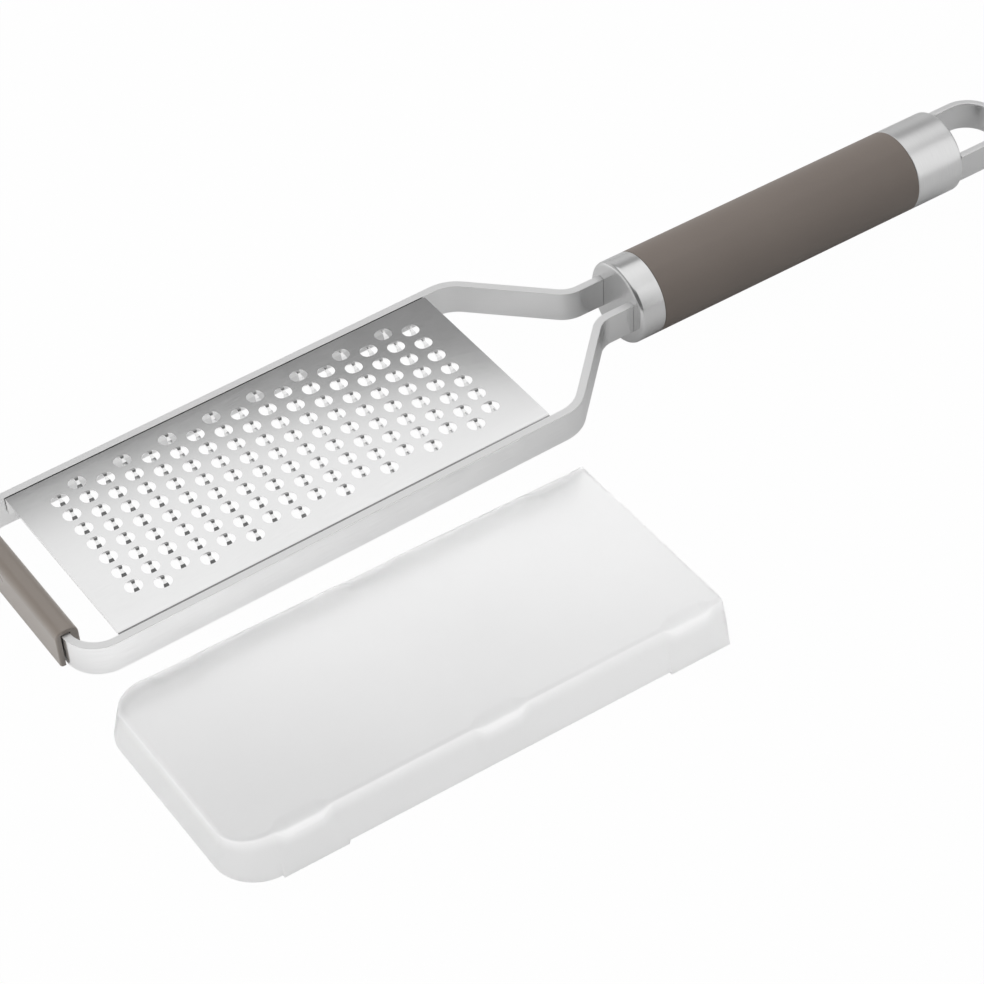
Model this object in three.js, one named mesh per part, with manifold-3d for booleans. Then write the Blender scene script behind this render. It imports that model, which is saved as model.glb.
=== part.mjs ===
// Fine grater: a raised-tooth steel plate in a bent strip frame on a round handle, with its cover beside it.
// Millimetres, +Z up, +X from the front foot to the hanging loop, +Y away from the cover's side.

import * as THREE from "three";
import { mergeGeometries, mergeVertices } from "three/addons/utils/BufferGeometryUtils.js";
import Module from "manifold-3d";

const wasm = await Module();
wasm.setup();

// Clearance between neighbouring pieces, and how far a cutting body runs past what it cuts
const gap = 0.3;
const over = 2;

// Grating plate
const plateLength = 134.5;
const plateWidth = 62;
const plateThickness = 0.8;
const plateSink = 0.2;
const flangeDepth = 5.4;
const flangeBend = 0.4;

// Teeth: staggered holes, each crossed by a raised bridge
const columnPitch = 7;
const rowPitch = 6.61;
const toothEndMargin = 11;
const toothSideMargin = 7.5;
const holeLength = 5.3;
const holeWidth = 4.4;
const holeCorner = 1.3;
const bridgeWidth = 1.2;
const bridgeRise = 1.3;
const bridgeThickness = 0.6;
const bridgeTop = 1.8;
const bridgeCrown = 1.4;
const bridgeRoot = 0.4;

// Strip frame
const stripThickness = 2.3;
const stripHeight = 9.6;
const frontSlot = 10;
const cornerRadius = 9.35;
const armStart = 3.4;
const armAngle = 45;
const armRadius = 11.5;
const tangRadius = 8;
const tangInset = 4.1;
const tangReach = 18.1;
const tangHeight = 6.4;
const shoulderDepth = 2.1;

// Front foot
const footEndSpace = 0.1;
const footOuterWall = 1.5;
const footInnerWall = 2.3;
const footRoof = 1.2;
const footDrop = 0.8;
const footRound = 2.6;

// Handle, measured along its own axis from the end of the arms' second bend
const handleDroop = 1.11;
const handleRadius = 12.5;
const ferruleStart = 7.9;
const ferruleLength = 8.4;
const ferruleWall = 2.5;
const ferruleSkin = 1.2;
const rimRound = 1.2;
const blockBack = 2.2;
const sleeveThickness = 2;
const sleeveLength = 91.9;
const sleeveEdge = 0.2;
const tangPinRadius = 1.5;
const tangPinInset = 6;
const rodRadius = 3;
const rodPinSpace = 1.5;
const rodEndSpace = 2.3;
const capLength = 16.7;
const capSkin = 1.3;

// Hanging loop
const loopThickness = 2;
const loopHeight = 9.2;
const loopReach = 23.9;
const loopFlat = 2.4;
const loopTangLength = 12;
const loopTangHeight = 5;
const loopPinRadius = 1.2;
const loopPinDepth = 6.5;

// Storage cover
const coverLength = 147;
const coverHeight = 13.2;
const coverWall = 1.2;
const coverFit = 0.2;
const coverRim = 1.2;
const coverCorner = 12;
const coverLean = 4;
const coverFrontLean = 1.6;
const coverEdge = 1.2;
const notchFromCorner = 8.7;
const notchFromEnd = 10.8;
const notchFlat = 9;
const notchRamp = 4.4;
const notchDepth = 2;
const notchReach = 3.3;
const notchLip = 1.4;
const lipHeight = 0.8;
const lipRound = 0.3;
const tabLength = 19;
const tabSetback = 0.05;
const coverSpace = 12.5;
const coverForward = 9.9;

// Roundness, in steps of a full turn, a quarter bend, a pin, the rod, and the small rounded edges
const turnSteps = 48;
const bendSteps = 9;
const pinSteps = 16;
const rodSteps = 24;
const edgeSteps = 4;
const coverCornerSteps = 8;

// Places that follow from the sizes above

const columnCount = 1 + Math.floor((plateLength - 2 * toothEndMargin) / columnPitch);
const longColumnTeeth = 1 + Math.floor((plateWidth - 2 * toothSideMargin) / rowPitch);

const sideLine = plateWidth / 2 + gap + stripThickness / 2;
const frameHalf = sideLine + stripThickness / 2;
const frontLine = -plateLength / 2 - frontSlot - stripThickness / 2;
const tangSpacing = 2 * (handleRadius - tangInset) - stripThickness;

const footLength = 2 * (sideLine - cornerRadius - footEndSpace);
const footOuter = -stripThickness / 2 - gap - footOuterWall;
const footInner = stripThickness / 2 + gap + footInnerWall;
const footTop = stripHeight / 2 + gap + footRoof;
const footBottom = -stripHeight / 2 - footDrop;

const ferruleEnd = ferruleStart + ferruleLength;
const tangLength = ferruleStart + tangReach;
const tangShoulder = ferruleStart + shoulderDepth;
const tangPinPlace = tangLength - tangPinInset;
const blockStart = ferruleStart + ferruleWall + gap;
const blockEnd = tangLength + gap + blockBack;
const sleeveStart = ferruleEnd + gap;
const sleeveEnd = sleeveStart + sleeveLength;
const capStart = sleeveEnd + gap;
const capEnd = capStart + capLength;
const innerRadius = handleRadius - sleeveThickness - gap;
const cupRadius = handleRadius - ferruleSkin;

const loopWidth = 2 * (handleRadius - capSkin);
const loopPinPlace = capEnd - loopPinDepth;
const rodStart = tangPinPlace + tangPinRadius + rodPinSpace;
const rodEnd = loopPinPlace - loopPinRadius - rodEndSpace;

const coverWidth = 2 * (frameHalf + coverFit + coverWall);
const coverAside = frameHalf + coverSpace + coverWidth / 2;
const firstNotch = -coverLength / 2 + coverCorner + notchFromCorner;
const lastNotch = coverLength / 2 - notchFromEnd;
const notchCentres = [firstNotch, (firstNotch + lastNotch) / 2, lastNotch];

const degrees = Math.PI / 180;

// Solids

// One closed surface with shared corners, no collapsed triangles and its faces outward.
function closed(geometry) {
  const plain = geometry.clone();
  plain.deleteAttribute("normal");
  plain.deleteAttribute("uv");
  const merged = mergeVertices(plain, 1e-4);
  const corner = merged.index.array;
  const faces = [];
  for (let i = 0; i < corner.length; i += 3) {
    const [a, b, c] = [corner[i], corner[i + 1], corner[i + 2]];
    if (a !== b && b !== c && c !== a) {
      faces.push([a, b, c]);
    }
  }
  const place = merged.getAttribute("position");
  const at = (i) => new THREE.Vector3().fromBufferAttribute(place, i);
  let volume = 0;
  for (const [a, b, c] of faces) {
    volume += at(a).dot(at(b).cross(at(c)));
  }
  const outward = volume < 0 ? faces.map(([a, b, c]) => [a, c, b]) : faces;
  merged.setIndex(outward.flat());
  return merged;
}

function solid(geometry) {
  const surface = closed(geometry);
  return new wasm.Manifold(new wasm.Mesh({
    numProp: 3,
    vertProperties: new Float32Array(surface.getAttribute("position").array),
    triVerts: new Uint32Array(surface.index.array),
  }));
}

function surfaceOf(body) {
  const mesh = body.getMesh();
  const geometry = new THREE.BufferGeometry();
  geometry.setAttribute("position", new THREE.BufferAttribute(mesh.vertProperties, 3));
  geometry.setIndex(new THREE.BufferAttribute(mesh.triVerts, 1));
  return geometry;
}

function box(width, depth, height, x, y, z) {
  return new THREE.BoxGeometry(width, depth, height).translate(x, y, z);
}

// A body turned about the X axis from a closed profile of [distance along the axis, radius].
function turned(profile) {
  const points = profile.map(([along, radius]) => new THREE.Vector2(radius, along));
  return new THREE.LatheGeometry(points, turnSteps).rotateZ(-Math.PI / 2);
}

// A plain bar along X, and one along Y.
function bar(radius, from, to) {
  return new THREE.CylinderGeometry(radius, radius, to - from, rodSteps)
    .rotateZ(-Math.PI / 2)
    .translate((from + to) / 2, 0, 0);
}

function crossBar(radius, halfLength, along) {
  return new THREE.CylinderGeometry(radius, radius, 2 * halfLength, pinSteps).translate(along, 0, 0);
}

// A flat outline raised by a height about z = 0.
function raised(outline, height) {
  return new THREE.ExtrudeGeometry(new THREE.Shape(outline), { depth: height, bevelEnabled: false })
    .translate(0, 0, -height / 2);
}

// A profile in [y, z] drawn out along X about x = 0.
function drawnAlongX(profile, length) {
  const outline = profile.map(([y, z]) => new THREE.Vector2(y, z));
  return new THREE.ExtrudeGeometry(new THREE.Shape(outline), { depth: length, bevelEnabled: false })
    .translate(0, 0, -length / 2)
    .applyMatrix4(new THREE.Matrix4().set(0, 0, 1, 0, 1, 0, 0, 0, 0, 1, 0, 0, 0, 0, 0, 1));
}

// A profile in [x, z] drawn out along Y about y = 0.
function drawnAlongY(profile, length) {
  const outline = profile.map(([x, z]) => new THREE.Vector2(x, z));
  return new THREE.ExtrudeGeometry(new THREE.Shape(outline), { depth: length, bevelEnabled: false })
    .translate(0, 0, -length / 2)
    .rotateX(Math.PI / 2);
}

// Quarter round about a centre, from one angle to another in degrees.
function arc(centreX, centreY, radius, from, to, steps) {
  const points = [];
  for (let i = 0; i <= steps; i += 1) {
    const angle = (from + (to - from) * i / steps) * degrees;
    points.push([centreX + radius * Math.cos(angle), centreY + radius * Math.sin(angle)]);
  }
  return points;
}

// A walk over the plan that keeps its place and heading, and records the centre line of a bent strip.
class Walk {
  constructor(x, y, heading) {
    this.place = new THREE.Vector2(x, y);
    this.heading = heading * degrees;
    this.points = [];
    this.headings = [];
    this.mark();
  }

  mark() {
    this.points.push(this.place.clone());
    this.headings.push(this.heading);
  }

  straight(length) {
    this.place.add(new THREE.Vector2(Math.cos(this.heading), Math.sin(this.heading)).multiplyScalar(length));
    this.mark();
    return this;
  }

  bend(radius, turn) {
    const side = Math.sign(turn);
    const steps = Math.ceil(Math.abs(turn) / 90 * bendSteps);
    const toCentre = this.heading + side * Math.PI / 2;
    const centre = new THREE.Vector2(Math.cos(toCentre), Math.sin(toCentre))
      .multiplyScalar(radius)
      .add(this.place);
    const start = this.heading;
    for (let i = 1; i <= steps; i += 1) {
      this.heading = start + turn * degrees * i / steps;
      const outward = this.heading - side * Math.PI / 2;
      this.place.set(centre.x + radius * Math.cos(outward), centre.y + radius * Math.sin(outward));
      this.mark();
    }
    return this;
  }

  // The strip's plan: both faces of this half of the centre line and of its mirror image across y = 0.
  outline(thickness) {
    const face = (shift) => this.points.map((p, i) => new THREE.Vector2(
      p.x - shift * Math.sin(this.headings[i]), p.y + shift * Math.cos(this.headings[i])));
    const mirrored = (points) => points.map((p) => new THREE.Vector2(p.x, -p.y)).reverse();
    const inner = face(thickness / 2);
    const outer = face(-thickness / 2);
    const innerBack = inner.slice().reverse();
    return [...mirrored(outer).slice(0, -1), ...outer, ...innerBack, ...mirrored(innerBack).slice(1)];
  }
}

// Grating plate

function plateGeometry() {
  const half = plateWidth / 2;
  const outerBend = flangeBend + plateThickness;
  const right = [
    [half, -flangeDepth],
    ...arc(half - outerBend, -outerBend, outerBend, 0, 90, edgeSteps),
  ];
  const left = right.map(([y, z]) => [-y, z]).reverse();
  const rightInside = [
    ...arc(half - outerBend, -outerBend, flangeBend, 90, 0, edgeSteps),
    [half - plateThickness, -flangeDepth],
  ];
  const leftInside = rightInside.map(([y, z]) => [-y, z]).reverse();
  const sheet = solid(drawnAlongX([...right, ...left, ...leftInside, ...rightInside], plateLength));

  const [hx, hy] = [holeLength / 2, holeWidth / 2];
  const hole = raised([
    [hx, hy - holeCorner], [hx - holeCorner, hy], [holeCorner - hx, hy], [-hx, hy - holeCorner],
    [-hx, holeCorner - hy], [holeCorner - hx, -hy], [hx - holeCorner, -hy], [hx, holeCorner - hy],
  ].map(([x, y]) => new THREE.Vector2(x, y)), 2 * (plateThickness + over));

  const root = hy + bridgeRoot;
  const low = -plateThickness / 2;
  const crown = bridgeRise - bridgeThickness;
  const bridge = drawnAlongX([
    [root, low], [bridgeTop / 2, bridgeRise], [-bridgeTop / 2, bridgeRise], [-root, low],
    [bridgeThickness - root, low], [-bridgeCrown / 2, crown],
    [bridgeCrown / 2, crown], [root - bridgeThickness, low],
  ], bridgeWidth);

  const holes = [];
  const bridges = [];
  for (let column = 0; column < columnCount; column += 1) {
    const count = longColumnTeeth - 1 + column % 2;
    for (let row = 0; row < count; row += 1) {
      const x = (column - (columnCount - 1) / 2) * columnPitch;
      const y = (row - (count - 1) / 2) * rowPitch;
      holes.push(hole.clone().translate(x, y, 0));
      bridges.push(bridge.clone().translate(x, y, 0));
    }
  }
  return surfaceOf(sheet.subtract(solid(mergeGeometries(holes))).add(solid(mergeGeometries(bridges))));
}

// Strip frame

const bendDrop = (armRadius + tangRadius) * (1 - Math.cos(armAngle * degrees));
const armLength = (sideLine - tangSpacing / 2 - bendDrop) / Math.sin(armAngle * degrees);

function frameWalk() {
  return new Walk(frontLine, 0, -90)
    .straight(sideLine - cornerRadius)
    .bend(cornerRadius, 90)
    .straight(plateLength / 2 + armStart - frontLine - cornerRadius)
    .bend(armRadius, armAngle)
    .straight(armLength)
    .bend(tangRadius, -armAngle);
}

const handleStart = frameWalk().place.x;

// Points behind the arms' second bend follow the handle's slope.
function sloped(geometry) {
  const place = geometry.getAttribute("position");
  const slope = new THREE.Matrix4().makeRotationY(handleDroop * degrees);
  const point = new THREE.Vector3();
  for (let i = 0; i < place.count; i += 1) {
    point.fromBufferAttribute(place, i);
    if (point.x > handleStart) {
      point.x -= handleStart;
      point.applyMatrix4(slope);
      point.x += handleStart;
      place.setXYZ(i, point.x, point.y, point.z);
    }
  }
  return geometry;
}

function frameGeometry() {
  const strip = solid(raised(frameWalk().straight(tangLength).outline(stripThickness), stripHeight));
  const trim = (stripHeight - tangHeight) / 2 + over;
  const reach = tangLength - tangShoulder + over;
  const cuts = [1, -1].map((side) => box(reach, 2 * handleRadius, trim,
    handleStart + tangShoulder + reach / 2, 0, side * (tangHeight + trim) / 2));
  const pinHole = crossBar(tangPinRadius + gap, handleRadius, handleStart + tangPinPlace);
  return sloped(surfaceOf(strip.subtract(solid(mergeGeometries([...cuts, pinHole].map(closed))))));
}

// Front foot: a channel over the front bar

function footGeometry() {
  const inside = stripThickness / 2 + gap;
  const ceiling = stripHeight / 2 + gap;
  return drawnAlongY([
    [footInner, footBottom],
    ...arc(footInner - footRound, footTop - footRound, footRound, 0, 90, edgeSteps),
    ...arc(footOuter + footRound, footTop - footRound, footRound, 90, 180, edgeSteps),
    [footOuter, footBottom], [-inside, footBottom], [-inside, ceiling],
    [inside, ceiling], [inside, footBottom],
  ], footLength);
}

// Handle pieces, along X from the end of the arms' second bend

function slots(spacing, thickness, height, from, to) {
  const length = to - from;
  return [1, -1].map((side) => box(length, thickness + 2 * gap, height + 2 * gap,
    from + length / 2, side * spacing / 2, 0));
}

function cut(geometry, cutters) {
  return surfaceOf(cutters.reduce((body, cutter) => body.subtract(solid(cutter)), solid(geometry)));
}

function ferruleGeometry() {
  const profile = [
    [ferruleStart, 0],
    ...arc(ferruleStart + rimRound, handleRadius - rimRound, rimRound, 180, 90, edgeSteps),
    [ferruleEnd, handleRadius], [ferruleEnd, cupRadius],
    [ferruleStart + ferruleWall, cupRadius], [ferruleStart + ferruleWall, 0],
  ];
  return cut(turned(profile), slots(tangSpacing, stripThickness, stripHeight, 0, ferruleEnd));
}

function blockGeometry() {
  const step = ferruleEnd - gap;
  const profile = [
    [blockStart, 0], [blockStart, cupRadius - gap], [step, cupRadius - gap],
    [step, innerRadius], [blockEnd, innerRadius], [blockEnd, 0],
  ];
  return cut(turned(profile), [
    ...slots(tangSpacing, stripThickness, tangHeight, 0, tangLength + gap),
    crossBar(tangPinRadius + gap, innerRadius - gap, tangPinPlace),
    bar(rodRadius + gap, rodStart - gap, blockEnd + over),
  ]);
}

function sleeveGeometry() {
  const bore = handleRadius - sleeveThickness;
  return turned([
    [sleeveStart, bore], [sleeveStart, handleRadius - sleeveEdge], [sleeveStart + sleeveEdge, handleRadius],
    [sleeveEnd - sleeveEdge, handleRadius], [sleeveEnd, handleRadius - sleeveEdge], [sleeveEnd, bore],
    [sleeveStart, bore],
  ]);
}

function coreGeometry() {
  const bore = rodRadius + gap;
  const from = blockEnd + gap;
  return turned([
    [from, bore], [from, innerRadius], [sleeveEnd, innerRadius], [sleeveEnd, bore], [from, bore],
  ]);
}

function capGeometry() {
  const legs = loopWidth - loopThickness;
  const profile = [
    [capStart, 0], [capStart, handleRadius],
    ...arc(capEnd - rimRound, handleRadius - rimRound, rimRound, 90, 0, edgeSteps),
    [capEnd, 0],
  ];
  return cut(turned(profile), [
    ...slots(legs, loopThickness, loopTangHeight, capEnd - loopTangLength, capEnd + over),
    crossBar(loopPinRadius + gap, loopWidth / 2, loopPinPlace),
    bar(rodRadius + gap, capStart - over, rodEnd + gap),
  ]);
}

function loopGeometry() {
  const tangEnd = capEnd - loopTangLength + gap;
  const loopEnd = capEnd + loopReach;
  const closing = loopEnd - loopThickness / 2;
  const radius = (loopWidth - loopThickness - loopFlat) / 2;
  const walk = new Walk(closing, 0, -90)
    .straight(loopFlat / 2)
    .bend(radius, -90)
    .straight(closing - radius - tangEnd);
  const strip = solid(raised(walk.outline(loopThickness), loopHeight));
  const shoulder = capEnd + gap;
  const trim = (loopHeight - loopTangHeight) / 2 + over;
  const cuts = [1, -1].map((side) => box(shoulder, loopWidth + over, trim,
    shoulder / 2, 0, side * (loopTangHeight + trim) / 2));
  const pinHole = crossBar(loopPinRadius + gap, loopWidth, loopPinPlace);
  return surfaceOf(strip.subtract(solid(mergeGeometries([...cuts, pinHole].map(closed)))));
}

// Storage cover: leaning walls notched along their top edges over the clips, open below and at the handle end

// How much of the notch there is at a distance along the cover, from none to all.
function notch(x) {
  const shares = notchCentres.map((centre) => {
    const outside = Math.abs(x - centre) - notchFlat / 2;
    return THREE.MathUtils.smoothstep(notchRamp - outside, 0, notchRamp);
  });
  return Math.max(...shares);
}

function coverStations() {
  const stations = [coverLength / 2, coverCorner - coverLength / 2];
  for (const centre of notchCentres) {
    for (const side of [-1, 1]) {
      for (const share of [0, 0.25, 0.5, 0.75, 1]) {
        stations.push(centre + side * (notchFlat / 2 + share * notchRamp));
      }
    }
  }
  const inside = stations.filter((x) => x <= coverLength / 2 && x >= coverCorner - coverLength / 2);
  return inside.sort((a, b) => b - a);
}

// Sections of the wall from its rim to the flat top, as [distance in from the rim, height].
function plainSection(inset, bottom, fullLean) {
  const shoulder = coverHeight - inset - coverEdge;
  const rise = coverHeight - coverRim;
  const round = [0, 30, 60, 90].map((angle) => {
    const height = shoulder + coverEdge * Math.sin(angle * degrees);
    const lean = fullLean * (height - coverRim) / rise;
    return [inset + lean + coverEdge * (1 - Math.cos(angle * degrees)), height];
  });
  return [[inset, bottom], ...round];
}

function notchSection(inset, bottom) {
  const top = coverHeight - inset;
  const edge = inset + coverLean;
  const lip = edge - notchLip;
  return [
    [inset, bottom], [lip - lipRound, top - notchDepth - lipHeight], [lip + lipRound, top - notchDepth],
    [(lip + edge + notchReach) / 2, top - notchDepth / 2], [edge + notchReach, top],
  ];
}

// A closed skin through rings of points of equal length, with flat lids.
function lofted(rings) {
  const count = rings[0].length;
  const faces = [];
  for (let k = 0; k + 1 < rings.length; k += 1) {
    for (let i = 0; i < count; i += 1) {
      const [a, b] = [k * count + i, k * count + (i + 1) % count];
      faces.push(a, b, b + count, a, b + count, a + count);
    }
  }
  const last = rings.length - 1;
  const flat = (ring) => ring.map(([x, y]) => new THREE.Vector2(x, y));
  const lid = (k) => THREE.ShapeUtils.triangulateShape(flat(rings[k]), []);
  lid(0).forEach(([a, b, c]) => faces.push(a, c, b));
  lid(last).forEach(([a, b, c]) => faces.push(last * count + a, last * count + b, last * count + c));
  const geometry = new THREE.BufferGeometry();
  geometry.setAttribute("position", new THREE.Float32BufferAttribute(rings.flat(2), 3));
  geometry.setIndex(faces);
  return geometry;
}

function coverSkin(inset, bottom, beyond) {
  const plain = plainSection(inset, bottom, coverLean);
  const notched = notchSection(inset, bottom);
  const front = plainSection(inset, bottom, coverFrontLean);
  const cornerX = coverCorner - coverLength / 2;
  const cornerY = coverWidth / 2 - coverCorner;
  const stations = coverStations();
  const rings = plain.map((section, k) => {
    const side = stations.map((x, i) => {
      const share = notch(x);
      const inward = THREE.MathUtils.lerp(section[0], notched[k][0], share);
      const height = THREE.MathUtils.lerp(section[1], notched[k][1], share);
      return [i === 0 ? x + beyond : x, coverWidth / 2 - inward, height];
    });
    const [, lastY, lastHeight] = side[side.length - 1];
    const corner = arc(0, 0, 1, 90, 180, coverCornerSteps).slice(1).map(([c, s]) => [
      cornerX + c * (coverCorner - front[k][0]),
      cornerY + s * (lastY - cornerY),
      THREE.MathUtils.lerp(front[k][1], lastHeight, s),
    ]);
    const far = [...side, ...corner];
    const near = far.map(([x, y, z]) => [x, -y, z]).reverse();
    return [...far, ...near];
  });
  return lofted(rings);
}

function coverGeometry() {
  const outer = solid(coverSkin(0, coverRim, 0));
  const inner = solid(coverSkin(coverWall, coverRim - over, over));
  const tabHeight = coverRim + coverWall / 2;
  const tabs = [firstNotch, lastNotch].flatMap((centre) => [1, -1].map((side) => {
    const to = Math.min(centre + tabLength / 2, coverLength / 2 - tabSetback);
    return box(tabLength, coverWall - 2 * tabSetback, tabHeight, to - tabLength / 2,
      side * (coverWidth - coverWall) / 2, tabHeight / 2);
  }));
  return surfaceOf(tabs.reduce((body, tab) => body.add(solid(tab)), outer.subtract(inner)));
}

// Materials

function finish(color, roughness, metalness) {
  return new THREE.MeshStandardMaterial({ color, roughness, metalness, flatShading: true });
}

const steel = () => finish(0xc4c4c2, 0.3, 1);
const plateSteel = () => finish(0xd0d0ce, 0.35, 1);
const softGrip = () => finish(0x777068, 0.8, 0);
const hardPlastic = () => finish(0x55504b, 0.6, 0);
const frosted = () => finish(0xe9eaea, 0.55, 0);

function piece(name, geometry, material) {
  const mesh = new THREE.Mesh(closed(geometry), material);
  mesh.name = name;
  return mesh;
}

// Handle, sloping down a little from the frame

const handle = new THREE.Group();
handle.add(
  piece("ferrule", ferruleGeometry(), steel()),
  piece("tang_block", blockGeometry(), steel()),
  piece("tang_pin", crossBar(tangPinRadius, innerRadius - 2 * gap, tangPinPlace), steel()),
  piece("grip_core", coreGeometry(), hardPlastic()),
  piece("grip_sleeve", sleeveGeometry(), softGrip()),
  piece("tie_rod", bar(rodRadius, rodStart, rodEnd), steel()),
  piece("end_cap", capGeometry(), steel()),
  piece("hanging_loop", loopGeometry(), steel()),
  piece("loop_pin", crossBar(loopPinRadius, loopWidth / 2 - gap, loopPinPlace), steel()),
);
handle.position.x = handleStart;
handle.rotation.y = handleDroop * degrees;

// Whole grater, resting on the foot's outer edge and the ferrule's lower rim

const plate = piece("grater_plate", plateGeometry(), plateSteel());
plate.position.z = stripHeight / 2 - plateSink;
const foot = piece("front_foot", footGeometry(), softGrip());
foot.position.x = frontLine;

const footEdge = new THREE.Vector3(frontLine + footOuter, 0, footBottom);
const rimCentre = new THREE.Vector3(ferruleStart + rimRound, 0, rimRound - handleRadius)
  .applyAxisAngle(new THREE.Vector3(0, 1, 0), handleDroop * degrees)
  .add(new THREE.Vector3(handleStart, 0, 0));
const support = rimCentre.clone().sub(footEdge);
const restTilt = Math.atan2(-support.z, support.x) + Math.asin(rimRound / support.length());

const grater = new THREE.Group();
grater.add(piece("frame_strip", frameGeometry(), steel()), plate, foot, handle);
grater.rotation.y = -restTilt;
grater.position.z = -(footEdge.z * Math.cos(restTilt) + footEdge.x * Math.sin(restTilt));

// Cover on the table beside the grater

const cover = piece("storage_cover", coverGeometry(), frosted());
cover.position.set(-coverForward, -coverAside, 0);

// The pair, with its origin on the table under the middle of its bounding box

const pair = new THREE.Group();
pair.add(grater, cover);
pair.updateMatrixWorld(true);
const bounds = new THREE.Box3().setFromObject(pair, true);
const middle = bounds.getCenter(new THREE.Vector3());
pair.position.set(-middle.x, -middle.y, -bounds.min.z);

const object = new THREE.Group();
object.add(pair);

export default object;
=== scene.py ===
# %% [markdown]
# # A fine grater and its storage cover
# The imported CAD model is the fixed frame. Each visible piece is worked out again here with finer curves,
# in the same place, and every piece gets a procedural finish. Lengths are in millimetres until a mesh is
# made, because that is how a maker would read them. Blender itself works in metres.

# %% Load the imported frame
import math

import bmesh
import bpy
import numpy as np
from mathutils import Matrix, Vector


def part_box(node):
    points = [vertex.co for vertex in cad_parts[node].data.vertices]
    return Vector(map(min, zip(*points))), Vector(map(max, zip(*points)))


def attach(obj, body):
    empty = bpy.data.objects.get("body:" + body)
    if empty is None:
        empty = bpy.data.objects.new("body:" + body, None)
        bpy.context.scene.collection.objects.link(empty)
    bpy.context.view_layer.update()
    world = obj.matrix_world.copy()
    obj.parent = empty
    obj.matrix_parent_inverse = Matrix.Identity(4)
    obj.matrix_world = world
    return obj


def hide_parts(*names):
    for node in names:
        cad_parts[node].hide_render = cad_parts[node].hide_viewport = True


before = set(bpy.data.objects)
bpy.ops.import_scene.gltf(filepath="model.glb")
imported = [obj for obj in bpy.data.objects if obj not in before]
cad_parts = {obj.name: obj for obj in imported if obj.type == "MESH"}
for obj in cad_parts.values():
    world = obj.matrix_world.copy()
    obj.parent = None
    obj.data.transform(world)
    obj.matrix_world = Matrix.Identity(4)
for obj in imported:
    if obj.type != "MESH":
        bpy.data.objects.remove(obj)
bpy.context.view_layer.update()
MM = 0.001

# %% [markdown]
# ## Camera
# The photograph was fitted as a pinhole camera: three perpendicular directions, a place and a focal length.
# A camera's matrix can hold these directions directly, which is more exact than aiming it at a target. Its
# columns are the picture's right, the picture's up, and the direction from the scene back to the camera.

# %% Camera
camera_place = (-0.378898, -0.510908, 0.578233)
picture_right = np.array([0.82525349, -0.56436083, -0.02129633])
picture_down = np.array([-0.39773065, -0.55399511, -0.73136841])
camera_lens = 114.37
camera_sensor = 36


def in_scene(name, data):
    """A new object with this data, linked to the scene."""
    made = bpy.data.objects.new(name, data)
    bpy.context.scene.collection.objects.link(made)
    return made


camera_data = bpy.data.cameras.new("photo_camera")
camera_data.lens = camera_lens
camera_data.sensor_width = camera_sensor
camera = in_scene("photo_camera", camera_data)
back_to_camera = -np.cross(picture_right, picture_down)
camera_matrix = np.eye(4)
camera_matrix[:3] = np.stack([picture_right, -picture_down, back_to_camera, camera_place], 1)
camera.matrix_world = camera_matrix.T.tolist()
bpy.context.scene.camera = camera
bpy.context.scene.view_settings.view_transform = "Standard"
print("camera at", camera_place)

# %% [markdown]
# ## The grater's own frame
# It is easiest to draw the grater level, with its plate about the origin and the handle towards +X. On the
# table it rests on its foot and on the ferrule, nose down by two degrees, and the handle drops a little
# against the frame. Three small functions carry a drawing from the level frame to its place on the table.

# %% From drawing to table
rest_tilt = math.radians(2.0874)
rest_lift = 8.5594
handle_droop = math.radians(1.11)
handle_start = 103.8799
cover_forward = 9.9
cover_aside = 81.1

cover_low, cover_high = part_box("storage_cover")
cover_middle = (np.array(cover_low) + np.array(cover_high)) / 2 / MM
pair_shift = np.array([cover_middle[0] + cover_forward, cover_middle[1] + cover_aside, 0])


def turned_down(points, angle):
    """Turns points about the Y axis: x' = x cos + z sin and z' = z cos - x sin."""
    x, y, z = np.moveaxis(np.asarray(points, float), -1, 0)
    along = x * math.cos(angle) + z * math.sin(angle)
    height = z * math.cos(angle) - x * math.sin(angle)
    return np.stack([along, y, height], -1)


def grater_place(points):
    """From the grater's level frame to the table: turned nose down, lifted and shifted."""
    return turned_down(points, -rest_tilt) + [0, 0, rest_lift] + pair_shift


def handle_place(points):
    """From the handle's axis to the table: turned down by the droop behind the arms, then as the grater."""
    return grater_place(turned_down(points, handle_droop) + [handle_start, 0, 0])


def cover_place(points):
    """From the cover's own middle to the table."""
    return np.asarray(points, float) + pair_shift - [cover_forward, cover_aside, 0]


print("pair shifted by", pair_shift.round(3))

# %% [markdown]
# ## Skins
# Every piece below is one or more grids of points, each a function of two parameters. A skin collects the
# grids and the flat lids, welds the points that meet, turns all faces outwards and makes one closed mesh.
# The UV map holds real lengths, so that a grain in a finish can run along a bent strip.

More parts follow.
